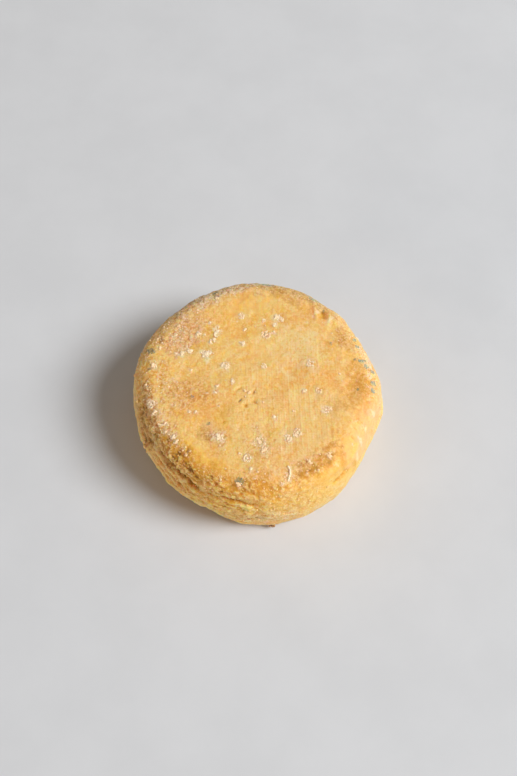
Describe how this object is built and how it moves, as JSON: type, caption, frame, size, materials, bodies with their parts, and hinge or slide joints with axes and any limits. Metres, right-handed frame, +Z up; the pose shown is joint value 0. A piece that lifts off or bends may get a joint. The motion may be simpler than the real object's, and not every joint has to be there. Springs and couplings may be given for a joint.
{
  "type": "aged goat cheese",
  "caption": "Small round of aged goat cheese with a wrinkled, butter-brown rind and tufts of white mould, lying flat on its base.",
  "frame": {"origin": "middle of the base, which lies flat at z = 0", "axes": "+Z up through the round, +X to the right and -Y to the front as the cheese lies"},
  "size_m": [0.0626, 0.062, 0.0219],
  "materials": {
    "rind": "dry butter-yellow rind, matt, browned in the folds and along the left shoulder, with a fine cloth imprint",
    "white_mould": "warty tufts of cream-white mould, matt",
    "blue_mould": "small spots of grey-green mould, matt"
  },
  "bodies": {
    "root": {"cheese": "rind"}
  },
  "joints": []
}
